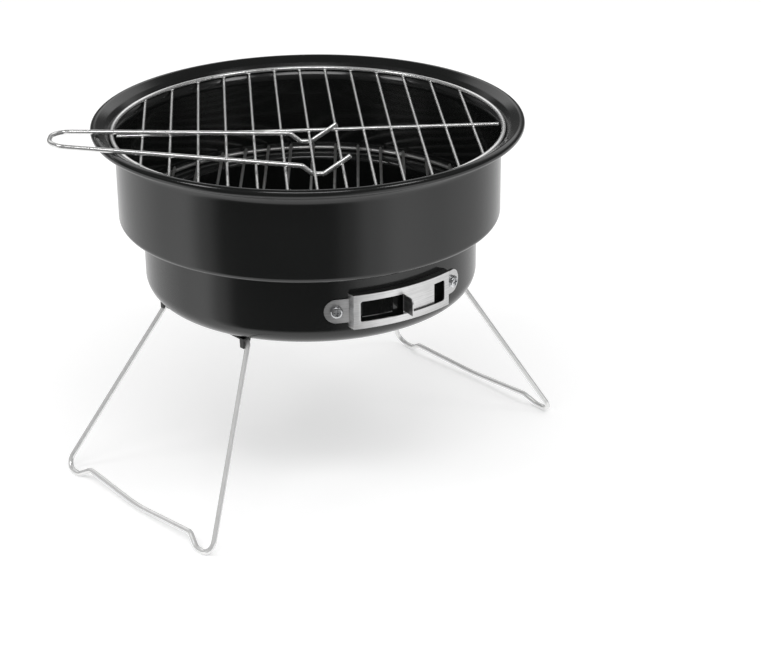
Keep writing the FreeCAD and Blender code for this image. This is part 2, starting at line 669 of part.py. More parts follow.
def build():
    grate_end = GRATE_RING_RADIUS - GRATE_END_INSET
    coal_end = COAL_RING_RADIUS + COAL_END_OVERHANG
    right_leg = make_leg()
    right_rear = make_leg_bracket()
    right_front = mirrored(right_rear, Y_AXIS)
    return {
        "fire_bowl": make_fire_bowl(),
        "cooking_grate_ring": make_ring(GRATE_RING_RADIUS, GRATE_RING_WIRE, GRATE_RING_Z),
        "cooking_grate_wires": parallel_wires(GRATE_COUNT, GRATE_PITCH, GRATE_WIRE, GRATE_WIRE_BEARING,
                                              GRATE_WIRE_Z, grate_end),
        "cooking_grate_crossbar": make_cooking_grate_crossbar(),
        "charcoal_grate_ring": make_ring(COAL_RING_RADIUS, COAL_RING_WIRE, COAL_RING_Z),
        "charcoal_grate_wires": parallel_wires(COAL_COUNT, COAL_PITCH, COAL_WIRE, COAL_WIRE_BEARING,
                                               COAL_WIRE_Z, coal_end),
        "charcoal_grate_crossbar": make_charcoal_grate_crossbar(),
        "grate_lifter": make_grate_lifter(),
        "vent_frame": make_vent_frame(),
        "vent_slider": make_vent_slider(),
        "vent_left_screw": make_vent_screw(-1),
        "vent_right_screw": make_vent_screw(1),
        "vent_left_nut": make_vent_nut(-1),
        "vent_right_nut": make_vent_nut(1),
        "right_rear_leg_bracket": right_rear,
        "right_front_leg_bracket": right_front,
        "left_rear_leg_bracket": mirrored(right_rear, X_AXIS),
        "left_front_leg_bracket": mirrored(right_front, X_AXIS),
        "bracket_rivets": make_bracket_rivets(),
        "right_leg": right_leg,
        "left_leg": mirrored(right_leg, X_AXIS),
    }


os.makedirs("parts", exist_ok=True)
for node, solid in build().items():
    box = solid.BoundBox
    print(f"{node}: {len(solid.Solids)} solids, volume {solid.Volume:.1f}, valid {solid.isValid()}, "
          f"z {box.ZMin:.2f} to {box.ZMax:.2f}")
    solid.exportStep(f"parts/{node}.step")
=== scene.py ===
"""Looks of the portable tabletop grill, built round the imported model.

Metres, in the frame of the model: +Z up, -Y to the front, ground at 0.
"""
import math

import bmesh
import bpy
import numpy as np
from mathutils import Matrix, Vector


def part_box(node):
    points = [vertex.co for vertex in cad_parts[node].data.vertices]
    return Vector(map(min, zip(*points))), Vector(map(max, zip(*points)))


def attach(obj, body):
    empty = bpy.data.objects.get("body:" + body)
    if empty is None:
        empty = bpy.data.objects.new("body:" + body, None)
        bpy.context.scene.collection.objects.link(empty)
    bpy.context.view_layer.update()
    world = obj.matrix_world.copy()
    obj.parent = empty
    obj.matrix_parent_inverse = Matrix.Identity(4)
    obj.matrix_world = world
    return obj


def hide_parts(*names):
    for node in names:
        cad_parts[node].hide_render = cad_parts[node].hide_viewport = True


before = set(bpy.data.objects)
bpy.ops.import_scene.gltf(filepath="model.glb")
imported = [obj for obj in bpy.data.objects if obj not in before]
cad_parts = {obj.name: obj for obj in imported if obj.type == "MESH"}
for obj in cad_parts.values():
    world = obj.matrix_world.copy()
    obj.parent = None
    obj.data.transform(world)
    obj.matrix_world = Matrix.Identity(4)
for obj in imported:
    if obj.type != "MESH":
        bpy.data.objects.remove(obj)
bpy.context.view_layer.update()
MM = 0.001
UP = np.array([0.0, 0.0, 1.0])

# View: where the middle of the rim stands in the picture, and from where it is seen
PICTURE = (763.0, 655.0)
RIM_PIXEL = (307.9, 114.1)
FOCAL_PIXELS = 2060.0
SENSOR = 36.0
VIEW_AZIMUTH = -41.15
VIEW_ELEVATION = 24.2
VIEW_ROLL = -0.45
VIEW_DISTANCE = 1.2352
RIM_PLANE = 219.6 * MM
CLIP_START = 0.01
CLIP_END = 50.0

# Fire bowl
BOWL_LOW, BOWL_HIGH = (Vector(corner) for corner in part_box("fire_bowl"))
RIM_RADIUS = BOWL_HIGH.x
HEIGHT = BOWL_HIGH.z
FLOOR_BOTTOM = BOWL_LOW.z
SHEET = 0.8 * MM
RIM_BEAD = 5.2 * MM
RIM_CURL_TURN = 285.0
OUTER_FLANGE_SLOPE = 32.0
INNER_FLANGE_SLOPE = 52.0
FLANGE_BEND = 2.5 * MM
SEAT_TO_CORNER = 3.3 * MM
SHOULDER_BEND = 8.0 * MM
STEP_BEND = 3.5 * MM
FOOT_BEND = 12.4 * MM
FLANGE_WIDTH = 13.9 * MM
STEP_WIDTH = 14.4 * MM
STEP_DEPTH = 60.2 * MM
UPPER_RADIUS = RIM_RADIUS - FLANGE_WIDTH - SHEET / 2
LOWER_RADIUS = UPPER_RADIUS - STEP_WIDTH
LEDGE_TOP = HEIGHT - STEP_DEPTH

# Air hole behind the vent
VENT_BEARING = -98.3
VENT_BELOW_MIDDLE = 0.35 * MM
VENT_Z = (LEDGE_TOP + FLOOR_BOTTOM) / 2 - VENT_BELOW_MIDDLE
AIR_HOLE = (-14.5, -3.5)
AIR_HOLE_HEIGHT = 11.0 * MM

# Welds of the grates: depth, and half sizes along a wire, across it and upwards
WELD = 0.12 * MM
END_WELD = (1.15 * MM, 1.25 * MM, 0.85 * MM)
CROSS_WELD = (1.15 * MM, 1.15 * MM, 0.7 * MM)

# Grate lifter
LIFTER_WIRE = 2.8 * MM
LIFTER_BEARING = -39.3
LIFTER_SIDE = -44.2 * MM
LIFTER_LOOP_REACH = 149.0 * MM
LIFTER_LOOP_WIDTH = 26.7 * MM
LIFTER_HOOK_WIDTH = 57.0 * MM
LIFTER_LOOP_BEND = 12.0 * MM
LIFTER_DIP_LENGTH = 6.5 * MM
LIFTER_DIP_MARGIN = 1.0 * MM
LIFTER_SHOULDER_RUN = 6.0 * MM
LIFTER_TIP_RUN = 15.4 * MM
LIFTER_TIP_SLOPE = 34.5
LIFTER_HOOK_BEND = 3.0 * MM
LIFTER_RIM_CLEARANCE = 0.25 * MM
WIRE_GAP = 0.2 * MM
HOOK_GAP = 0.3 * MM

# Legs
LEG_WIRE = 3.2 * MM
LEG_ANGLE = 29.1
PIVOT_X = 81.2 * MM
PIVOT_BELOW_FLOOR = 3.4 * MM
PIVOT_Z = FLOOR_BOTTOM - PIVOT_BELOW_FLOOR
LEG_LENGTH = (PIVOT_Z - LEG_WIRE / 2) / math.cos(math.radians(LEG_ANGLE))
LEG_TOP_Y = 40.0 * MM
FOOT_OUTER_Y = 75.5 * MM
FOOT_INNER_Y = 61.0 * MM
LEG_CROSSBAR_Y = 51.7 * MM
FOOT_DIP = 6.0 * MM
CROSSBAR_BOW = 3.5 * MM
LEG_PIN_END_Y = 34.2 * MM
LEG_PIN_BEND = 3.2 * MM
FOOT_BEND_RADIUS = 7.0 * MM
CROSSBAR_BEND = 5.0 * MM
CROSSBAR_BOW_BEND = 120.0 * MM
PIN_HEAD_RADIUS = 2.1 * MM
PIN_HEAD_LENGTH = 1.0 * MM

# Edges of wires and of pressed and turned pieces
WIRE_CHAMFER = 0.25 * MM
CHANNEL_ROUNDING = 0.25 * MM
SHUTTER_ROUNDING = 0.15 * MM
SCREW_ROUNDING = 0.12 * MM
NUT_ROUNDING = 0.3 * MM
BRACKET_ROUNDING = 0.25 * MM
RIVET_ROUNDING = 0.15 * MM

# Fineness of the meshes: counts, lengths, and angles in degrees, but the welds' latitude in radians
BOWL_FACETS = 360
HOLE_FACETS = 11
RING_FACETS = 240
WIRE_SIDES = 20
LIFTER_SIDES = 28
LEG_SIDES = 24
STRAIGHT_WIRE_POINTS = 5
WIRE_ARC_STEP = 6.0
SHEET_ARC_STEP = 7.5
SHOULDER_ARC_STEP = 4.0
FOOT_ARC_STEP = 5.0
LONG_RUN_STEPS = 4
FLOOR_CENTRE_RADIUS = 1.0 * MM
WELD_RINGS = 7
WELD_SIDES = 12
WELD_LATITUDE = 1.35
WIRE_SHARP_ANGLE = 35.0
SHEET_SHARP_ANGLE = 50.0
EDGE_ANGLE = 32.0
FLAT_ANGLE = 0.6
MERGE_DISTANCE = 0.002 * MM
ROUNDING_SEGMENTS = 3

# Studio: levels at bearings counted from the viewer, and shares at heights above the horizon, in degrees
FLOOR_REACH = 6.0
FLOOR_GREY = 0.9
FLOOR_GLOW = 0.26
WORLD_LEVEL = 0.95
WALL_LEVELS = [(-180, 0.85), (-134, 0.85), (-100, 0.9), (-76, 1.2), (-63, 0.6), (-50, 0.12), (-35, 0.1),
               (14, 0.1), (24, 0.3), (38, 0.8), (56, 1.15), (91, 0.85), (120, 0.72), (180, 0.85)]
SCREEN_LEVELS = [(-180, 1.0), (-140, 0.9), (-115, 0.15), (115, 0.15), (140, 0.9), (180, 1.0)]
CEILING_LEVEL = 0.1
FLOOR_LEVEL = 1.0
FLOOR_SHARES = [(-90, 1.0), (-52, 1.0), (-38, 0.0), (90, 0.0)]
SCREEN_SHARES = [(-90, 0.0), (16, 0.0), (24, 1.0), (38, 1.0), (48, 0.0), (90, 0.0)]
WALL_SHARES = [(-90, 1.0), (-13, 1.0), (-4, 0.0), (90, 0.0)]

# Lamps: name, bearing from the viewer with the picture's right side positive, height, sides and watts
VIEWER_BEARING = VIEW_AZIMUTH - 90.0
LAMP_DISTANCE = 1.6
LAMPS = [
    ("key_lamp", 0.0, 58.0, (0.9, 0.35), 4.5),
    ("left_lamp", -65.0, 45.0, (0.4, 0.4), 2.5),
    ("right_lamp", 60.0, 50.0, (0.4, 0.4), 2.5),
]


class Grate:
    """Sizes of a round wire grate; its ring's place and its wires' level come from the imported model.

    The wires end end_reach past the ring's middle line, and the crossbar ends bar_end_gap
    short of its inner side. The crossbar lies on the wires where bar_side is 1 and under
    them where it is -1.
    """

    def __init__(self, kind, wire, pitch, count, bearing, end_reach,
                 bar_wire, bar_offset, bar_end_gap, bar_side):
        self.kind = kind
        self.node = f"{kind}_grate"
        low, high = (Vector(corner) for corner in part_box(f"{self.node}_ring"))
        self.ring_wire = high.z - low.z
        self.ring_radius = high.x - self.ring_wire / 2
        self.ring_z = (high.z + low.z) / 2
        self.wire = wire
        self.wire_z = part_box(f"{self.node}_wires")[0][2] + wire / 2
        self.bearing = bearing
        self.offsets = [(index - (count - 1) / 2) * pitch for index in range(count)]
        self.end_radius = self.ring_radius + end_reach
        self.bar_wire = bar_wire
        self.bar_offset = bar_offset
        self.bar_z = self.wire_z + bar_side * ((wire + bar_wire) / 2 - WELD)
        bar_end_radius = self.ring_radius - self.ring_wire / 2 - bar_end_gap
        self.bar_half = math.sqrt(bar_end_radius ** 2 - bar_offset ** 2)


COOKING_GRATE = Grate(
    "cooking", wire=1.7 * MM, pitch=16.5 * MM, count=13, bearing=53.3, end_reach=-0.9 * MM,
    bar_wire=2.1 * MM, bar_offset=-8.0 * MM, bar_end_gap=1.6 * MM, bar_side=1,
)
CHARCOAL_GRATE = Grate(
    "charcoal", wire=1.9 * MM, pitch=14.7 * MM, count=13, bearing=49.3, end_reach=0.6 * MM,
    bar_wire=1.9 * MM, bar_offset=0.0, bar_end_gap=-WELD, bar_side=-1,
)


# Shapes

def heading(degrees):
    """Unit vector in the XY plane at a bearing from +X."""
    angle = math.radians(degrees)
    return np.array([math.cos(angle), math.sin(angle), 0.0])


def unit(vectors):
    return vectors / np.linalg.norm(vectors, axis=-1, keepdims=True)


def add_piece(name, verts, faces, uv=None, sharp=WIRE_SHARP_ANGLE):
    """Object at the origin with this mesh, smooth except over sharp edges; uv is one pair a corner."""
    mesh = bpy.data.meshes.new(name)
    mesh.from_pydata(np.asarray(verts).tolist(), [], faces)
    mesh.shade_smooth()
    mesh.set_sharp_from_angle(angle=math.radians(sharp))
    if uv is not None:
        layer = mesh.uv_layers.new(name="along")
        corners = np.empty(len(mesh.loops), dtype=np.int32)
        mesh.loops.foreach_get("vertex_index", corners)
        layer.data.foreach_set("uv", np.asarray(uv)[corners].astype(np.float32).ravel())
    mesh.validate()
    obj = bpy.data.objects.new(name, mesh)
    bpy.context.scene.collection.objects.link(obj)
    return obj


def grid_faces(rows, columns, wrap_rows=False, wrap_columns=False, keep=None):
    """Quads of a grid of rows by columns, as index rows; keep masks cells."""
    row_count = rows if wrap_rows else rows - 1
    column_count = columns if wrap_columns else columns - 1
    i, j = np.meshgrid(np.arange(row_count), np.arange(column_count), indexing="ij")
    here = i * columns
    below = (i + 1) % rows * columns
    beside = (j + 1) % columns
    quads = np.stack([here + j, below + j, below + beside, here + beside], axis=-1)
    if keep is not None:
        quads = quads[keep]
    return quads.reshape(-1, 4)


def rounded_path(points, bends):
    """Polyline with its corners turned into arcs.

    Each arc is centre + arm * cos a + bend * sin a * the heading before the corner, and it
    touches the runs at bend * tan(turn / 2) from the corner.
    """
    parts = [points[0][None, :]]
    for before, corner, after, bend in zip(points[:-2], points[1:-1], points[2:], bends):
        into = unit(corner - before)
        away = unit(after - corner)
        turn = math.acos(max(-1.0, min(1.0, float(into @ away))))
        reach = bend * math.tan(turn / 2)
        centre = corner + unit(away - into) * bend / math.cos(turn / 2)
        steps = max(2, int(math.ceil(math.degrees(turn) / WIRE_ARC_STEP)))
        angles = np.linspace(0.0, turn, steps + 1)[:, None]
        arm = corner - into * reach - centre
        parts.append(centre + np.cos(angles) * arm + np.sin(angles) * bend * into)
    parts.append(points[-1][None, :])
    return np.concatenate(parts)


def wire_uv(radius, sides, along):
    """Pairs for each point of a wire: the way round it, out and back, and the way along it."""
    around = np.abs(2 * np.arange(sides) / sides - 1) * radius * math.pi
    return np.stack(np.broadcast_arrays(around[None, :], along[:, None]), axis=-1).reshape(-1, 2)


def tube_arrays(path, radius, side, sides=WIRE_SIDES):
    """Round wire along a path with chamfered flat ends.

    Each ring is path point + radius * (cos a * u + sin a * w), with u square to the path
    and to the fixed direction side, and w square to both.
    """
    first = unit(path[1] - path[0])
    last = unit(path[-1] - path[-2])
    chamfered = [path[:1] + first * WIRE_CHAMFER, path[1:-1], path[-1:] - last * WIRE_CHAMFER]
    path = np.concatenate([path[:1], *chamfered, path[-1:]])
    radii = np.full(len(path), radius)
    radii[[0, -1]] = radius - WIRE_CHAMFER
    tangent = unit(np.gradient(path, axis=0))
    tangent[[0, 1]] = first
    tangent[[-1, -2]] = last
    u = unit(np.cross(tangent, side))
    w = np.cross(tangent, u)
    angles = np.arange(sides) * 2 * math.pi / sides
    ring = np.cos(angles)[None, :, None] * u[:, None, :] + np.sin(angles)[None, :, None] * w[:, None, :]
    verts = (path[:, None, :] + radii[:, None, None] * ring).reshape(-1, 3)
    faces = grid_faces(len(path), sides, wrap_columns=True)[:, ::-1].tolist()
    last_row = (len(path) - 1) * sides
    faces.append(list(range(sides)))
    faces.append(list(range(last_row + sides - 1, last_row - 1, -1)))
    length = np.concatenate([[0.0], np.cumsum(np.linalg.norm(np.diff(path, axis=0), axis=1))])
    return verts, faces, wire_uv(radius, sides, length)


def torus_arrays(radius, wire, z):
    """Ring of round wire: (R + r cos b) along the bearing a, and z + r sin b."""
    a = np.arange(RING_FACETS) * 2 * math.pi / RING_FACETS
    b = np.arange(WIRE_SIDES) * 2 * math.pi / WIRE_SIDES
    reach = radius + wire / 2 * np.cos(b)[None, :]
    x = reach * np.cos(a)[:, None]
    y = reach * np.sin(a)[:, None]
    level = np.broadcast_to(z + wire / 2 * np.sin(b)[None, :], x.shape)
    verts = np.stack([x, y, level], axis=-1).reshape(-1, 3)
    faces = grid_faces(RING_FACETS, WIRE_SIDES, wrap_rows=True, wrap_columns=True).tolist()
    along = np.abs(2 * np.arange(RING_FACETS) / RING_FACETS - 1) * math.pi * radius
    return verts, faces, wire_uv(wire / 2, WIRE_SIDES, along)


def weld_arrays(centre, along, across, sizes):
    """Ellipsoid of weld metal with cut poles: centre + a cos f cos t + b cos f sin t + c sin f."""
    f = np.linspace(-WELD_LATITUDE, WELD_LATITUDE, WELD_RINGS)[:, None]
    t = np.arange(WELD_SIDES)[None, :] * 2 * math.pi / WELD_SIDES
    up = np.cross(along, across)
    verts = (centre + sizes[0] * (np.cos(f) * np.cos(t))[..., None] * along
             + sizes[1] * (np.cos(f) * np.sin(t))[..., None] * across
             + sizes[2] * (np.sin(f) * np.ones_like(t))[..., None] * up).reshape(-1, 3)
    faces = grid_faces(WELD_RINGS, WELD_SIDES, wrap_columns=True)[:, ::-1].tolist()
    faces.append(list(range(WELD_SIDES - 1, -1, -1)))
    faces.append(list(range((WELD_RINGS - 1) * WELD_SIDES, WELD_RINGS * WELD_SIDES)))
    return verts, faces, np.zeros((len(verts), 2))


def merge(shapes):
    """One set of arrays from several."""
    verts, faces, uvs = [], [], []
    start = 0
    for shape_verts, shape_faces, shape_uv in shapes:
        verts.append(shape_verts)
        uvs.append(shape_uv)
        faces.extend([[index + start for index in face] for face in shape_faces])
        start += len(shape_verts)
    return np.concatenate(verts), faces, np.concatenate(uvs)


class SheetLine:
    """Middle line of the bowl's sheet in its section, sampled step by step, with its headings."""

    def __init__(self, x, z, degrees):
        self.x = [x]
        self.z = [z]
        self.angle = [math.radians(degrees)]

    def run(self, length, steps=1):
        x, z, angle = self.x[-1], self.z[-1], self.angle[-1]
        share = np.arange(1, steps + 1) / steps
        self.x.extend(x + share * length * math.cos(angle))
        self.z.extend(z + share * length * math.sin(angle))
        self.angle.extend([angle] * steps)

    def run_to_x(self, x, steps=1):
        self.run((x - self.x[-1]) / math.cos(self.angle[-1]), steps)

    def run_to_z(self, z, steps=1):
        self.run((z - self.z[-1]) / math.sin(self.angle[-1]), steps)

    def arc(self, radius, degrees, step=SHEET_ARC_STEP):
        """Arc of this radius: positive angles turn left."""
        x, z, angle = self.x[-1], self.z[-1], self.angle[-1]
        turn = math.radians(degrees)
        side = math.copysign(radius, turn)
        steps = max(3, int(math.ceil(abs(degrees) / step)))
        along = np.arange(1, steps + 1) / steps * turn
        self.x.extend(x + side * (np.sin(angle + along) - math.sin(angle)))
        self.z.extend(z - side * (np.cos(angle + along) - math.cos(angle)))
        self.angle.extend(angle + along)

    def side(self, offset):
        """The line moved to its left by an offset: (x - offset sin a, z + offset cos a)."""
        x, z, angle = (np.array(values) for values in (self.x, self.z, self.angle))
        return np.stack([x - offset * np.sin(angle), z + offset * np.cos(angle)], axis=-1)


def bowl_line():
    """From the rolled bead's end over the rim, down the funnel, walls and step, to the floor's middle."""
    bead = (RIM_BEAD - SHEET) / 2
    bead_x = RIM_RADIUS - RIM_BEAD / 2
    bead_z = HEIGHT - RIM_BEAD / 2
    first = 90.0 + OUTER_FLANGE_SLOPE - RIM_CURL_TURN
    start = math.radians(first)
    line = SheetLine(bead_x + bead * math.cos(start), bead_z + bead * math.sin(start), first + 90.0)
    line.arc(bead, RIM_CURL_TURN)
    corner_x = COOKING_GRATE.ring_radius + COOKING_GRATE.ring_wire / 2 + SEAT_TO_CORNER
    turn = INNER_FLANGE_SLOPE - OUTER_FLANGE_SLOPE
    reach = FLANGE_BEND * math.tan(math.radians(turn) / 2)
    line.run_to_x(corner_x + reach * math.cos(math.radians(OUTER_FLANGE_SLOPE)))
    line.arc(FLANGE_BEND, turn)
    wall_turn = 90.0 - INNER_FLANGE_SLOPE
    reach = SHOULDER_BEND * math.tan(math.radians(wall_turn) / 2)
    line.run_to_x(UPPER_RADIUS + reach * math.cos(math.radians(INNER_FLANGE_SLOPE)))
    line.arc(SHOULDER_BEND, wall_turn, SHOULDER_ARC_STEP)
    line.run_to_z(LEDGE_TOP - SHEET / 2 + STEP_BEND, LONG_RUN_STEPS)
    line.arc(STEP_BEND, -90.0)
    line.run_to_x(LOWER_RADIUS + STEP_BEND)
    line.arc(STEP_BEND, 90.0)
    line.run_to_z(VENT_Z + AIR_HOLE_HEIGHT / 2)
    line.run_to_z(VENT_Z - AIR_HOLE_HEIGHT / 2)
    line.run_to_z(FLOOR_BOTTOM + SHEET / 2 + FOOT_BEND)
    line.arc(FOOT_BEND, -90.0, FOOT_ARC_STEP)
    line.run_to_x(FLOOR_CENTRE_RADIUS, LONG_RUN_STEPS)
    return line


def bowl_bearings():
    """Bearings of the bowl's facets in degrees, and the index of the one where the air hole starts."""
    start, end = (VENT_BEARING + edge for edge in AIR_HOLE)
    even = np.linspace(end, start + 360.0, BOWL_FACETS)
    hole = np.linspace(start, end, HOLE_FACETS + 1)[1:-1]
    return np.concatenate([even, hole + 360.0]), len(even) - 1


def hole_top_index(line):
    """Index of the line's point at the top of the air hole, on the lower wall."""
    away = np.abs(np.array(line.z) - VENT_Z - AIR_HOLE_HEIGHT / 2)
    on_lower_wall = np.array(line.x) <= LOWER_RADIUS + MM
    return int(np.argmin(np.where(on_lower_wall, away, np.inf)))


def make_bowl():
    """The section's closed outline turned about the axis: (x cos a, x sin a, z) at each bearing a.

    The air hole's cells are left out of both sides of the wall, and its edges are closed.
    """
    line = bowl_line()
    outline = np.concatenate([line.side(SHEET / 2), line.side(-SHEET / 2)[::-1]])
    half = len(line.x)
    bearings, hole_start = bowl_bearings()
    a = np.radians(bearings)
    count = len(bearings)
    x = outline[:, 0][:, None]
    z = np.broadcast_to(outline[:, 1][:, None], (len(outline), count))
    verts = np.stack([x * np.cos(a), x * np.sin(a), z], axis=-1).reshape(-1, 3)
    hole_top = hole_top_index(line)
    outer_rows = (hole_top, hole_top + 1)
    inner_rows = (2 * half - 1 - hole_top, 2 * half - 2 - hole_top)
    keep = np.ones((len(outline), count), dtype=bool)
    keep[half - 1] = False
    keep[outer_rows[0], hole_start:] = False
    keep[inner_rows[1], hole_start:] = False
    faces = grid_faces(len(outline), count, wrap_rows=True, wrap_columns=True, keep=keep)[:, ::-1].tolist()
    faces.append([(half - 1) * count + j for j in range(count)])
    faces.append([half * count + j for j in range(count - 1, -1, -1)])
    columns = [j % count for j in range(hole_start, count + 1)]
    for outer, inner, flip in zip(outer_rows, inner_rows, (False, True)):
        for j, k in zip(columns[:-1], columns[1:]):
            face = [outer * count + j, outer * count + k, inner * count + k, inner * count + j]
            faces.append(face[::-1] if flip else face)
    for j, flip in ((columns[0], True), (columns[-1], False)):
        face = [row * count + j for row in (*outer_rows, *inner_rows[::-1])]
        faces.append(face[::-1] if flip else face)
    return add_piece("enamelled_bowl", verts, faces, sharp=SHEET_SHARP_ANGLE)


def straight_wire(offset, half, z, bearing, wire):
    """Straight wire across a grate: middle + s * heading, for s from -half to half."""
    middle = heading(bearing + 90.0) * offset + z * UP
    share = np.linspace(-half, half, STRAIGHT_WIRE_POINTS)[:, None]
    return tube_arrays(middle + share * heading(bearing), wire / 2, UP)


def make_grate_wires(grate):
    """Parallel wires, with a flattened weld against the ring at each end."""
    shapes = []
    along = heading(grate.bearing)
    across = heading(grate.bearing + 90.0)
    weld_radius = grate.ring_radius - grate.ring_wire / 4
    weld_z = (grate.wire_z + grate.ring_z) / 2
    for offset in grate.offsets:
        half = math.sqrt(grate.end_radius ** 2 - offset ** 2)
        shapes.append(straight_wire(offset, half, grate.wire_z, grate.bearing, grate.wire))
        reach = math.sqrt(weld_radius ** 2 - offset ** 2)
        for side in (-1, 1):
            centre = across * offset + along * side * reach + weld_z * UP
            shapes.append(weld_arrays(centre, along, across, END_WELD))
    return add_piece(f"{grate.kind}_wires", *merge(shapes))


def make_crossbar(grate):
    """Straight wire across the others, with a small weld where it crosses each of them."""
    bearing = grate.bearing - 90.0
    shapes = [straight_wire(grate.bar_offset, grate.bar_half, grate.bar_z, bearing, grate.bar_wire)]
    along = heading(bearing)
    across = heading(bearing + 90.0)
    weld_z = (grate.bar_z + grate.wire_z) / 2
    for offset in grate.offsets:
        if abs(offset) > grate.bar_half:
            continue
        centre = across * grate.bar_offset - along * offset + weld_z * UP
        shapes.append(weld_arrays(centre, along, across, CROSS_WELD))
    return add_piece(f"{grate.kind}_crossbar", *merge(shapes))


def lifter_arm(side):
    """Corners of one arm from its cut tip to the loop; side 1 is the rear arm."""
    along = heading(LIFTER_BEARING)
    across = heading(LIFTER_BEARING + 90.0)
    skew = math.radians(COOKING_GRATE.bearing - 90.0 - LIFTER_BEARING)
    hook_side = LIFTER_SIDE + side * LIFTER_HOOK_WIDTH / 2
    loop_side = LIFTER_SIDE + side * LIFTER_LOOP_WIDTH / 2
    wire_at_hook = -hook_side * math.tan(skew)
    shift = side * (LIFTER_DIP_LENGTH / 2 - LIFTER_DIP_MARGIN)
    dip_start = wire_at_hook - shift - LIFTER_DIP_LENGTH / 2
    dip_end = dip_start + LIFTER_DIP_LENGTH
    shoulder = dip_start - LIFTER_SHOULDER_RUN
    half_wires = (COOKING_GRATE.wire + LIFTER_WIRE) / 2
    dip_z = COOKING_GRATE.wire_z - half_wires - HOOK_GAP
    shoulder_z = COOKING_GRATE.wire_z + half_wires + WIRE_GAP
    tip_z = dip_z + LIFTER_TIP_RUN * math.tan(math.radians(LIFTER_TIP_SLOPE))
    rim_z = HEIGHT + LIFTER_WIRE / 2 + LIFTER_RIM_CLEARANCE
    rim_reach = -math.sqrt((RIM_RADIUS - RIM_BEAD / 2) ** 2 - loop_side ** 2)
    climb = (rim_z - shoulder_z) / (shoulder - rim_reach)
    loop_z = shoulder_z + climb * (shoulder + LIFTER_LOOP_REACH)
    places = [
        (dip_end + LIFTER_TIP_RUN, hook_side, tip_z),
        (dip_end, hook_side, dip_z),
        (dip_start, hook_side, dip_z),
        (shoulder, hook_side, shoulder_z),
        (-LIFTER_LOOP_REACH, loop_side, loop_z),
    ]
    return [along * u + across * v + z * UP for u, v, z in places]


def make_lifter():
    """Hairpin of one wire along the two arms' corners, with the loop between them."""
    hook = [LIFTER_HOOK_BEND] * 3
    bends = hook + [LIFTER_LOOP_BEND] * 2 + hook
    path = rounded_path(lifter_arm(1) + lifter_arm(-1)[::-1], bends)
    return add_piece("hairpin_lifter", *tube_arrays(path, LIFTER_WIRE / 2, UP, LIFTER_SIDES))


def leg_corners():
    """Corners of a leg's wire from pin to pin, as y and the distance down the leg."""
    crossbar_down = LEG_LENGTH - FOOT_DIP
    corners = [
        (LEG_PIN_END_Y, 0.0),
        (LEG_TOP_Y, 0.0),
        (FOOT_OUTER_Y, LEG_LENGTH),
        (FOOT_INNER_Y, LEG_LENGTH),
        (LEG_CROSSBAR_Y, crossbar_down),
        (0.0, crossbar_down + CROSSBAR_BOW),
    ]
    return corners + [(-y, down) for y, down in corners[-2::-1]]


def make_leg(name, side):
    """One bent wire, opened to its stop; side is -1 for the left leg and 1 for the right leg."""
    bends = [LEG_PIN_BEND, FOOT_BEND_RADIUS, FOOT_BEND_RADIUS, CROSSBAR_BEND]
    lean = math.radians(LEG_ANGLE)
    out = np.array([side * math.sin(lean), 0.0, -math.cos(lean)])
    pivot = np.array([side * PIVOT_X, 0.0, PIVOT_Z])
    points = [pivot + np.array([0.0, y, 0.0]) + out * down for y, down in leg_corners()]
    normal = np.array([side * math.cos(lean), 0.0, math.sin(lean)])
    path = rounded_path(points, bends + [CROSSBAR_BOW_BEND] + bends[::-1])
    shapes = [tube_arrays(path, LEG_WIRE / 2, normal, LEG_SIDES)]
    for end in (-1, 1):
        start = pivot + np.array([0.0, end * LEG_PIN_END_Y, 0.0])
        head = np.stack([start, start + np.array([0.0, end * PIN_HEAD_LENGTH, 0.0])])
        shapes.append(tube_arrays(head, PIN_HEAD_RADIUS, UP, LEG_SIDES))
    return add_piece(name, *merge(shapes))


def softened_copy(node, name, rounding):
    """The node's own solid with its edges rounded over, as pressed and turned metal has them."""
    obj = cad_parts[node].copy()
    obj.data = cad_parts[node].data.copy()
    obj.name = name
    obj.data.name = name
    obj.parent = None
    obj.matrix_world = Matrix.Identity(4)
    bpy.context.scene.collection.objects.link(obj)
    mesh = obj.data
    work = bmesh.new()
    work.from_mesh(mesh)
    bmesh.ops.remove_doubles(work, verts=work.verts, dist=MERGE_DISTANCE)
    bmesh.ops.dissolve_limit(work, angle_limit=math.radians(FLAT_ANGLE), verts=work.verts, edges=work.edges)
    work.to_mesh(mesh)
    work.free()
    mesh.shade_smooth()
    mesh.set_sharp_from_angle(angle=math.radians(EDGE_ANGLE))
    bevel = obj.modifiers.new("rounded_edges", "BEVEL")
    bevel.width = rounding
    bevel.segments = ROUNDING_SEGMENTS
    bevel.limit_method = "ANGLE"
    bevel.angle_limit = math.radians(EDGE_ANGLE)
    bevel.use_clamp_overlap = True
    bevel.harden_normals = True
    return obj


# Finishes

class NodeTree:
    """The nodes of a material or a world."""

    def __init__(self, owner):
        owner.use_nodes = True
        self.nodes = owner.node_tree.nodes
        self.links = owner.node_tree.links

    def node(self, kind, **values):
        """New node with these settings, each a socket's value or a property of the node."""
        made = self.nodes.new(kind)
        for key, value in values.items():
            if key in made.inputs:
                made.inputs[key].default_value = value
            else:
                setattr(made, key, value)
        return made


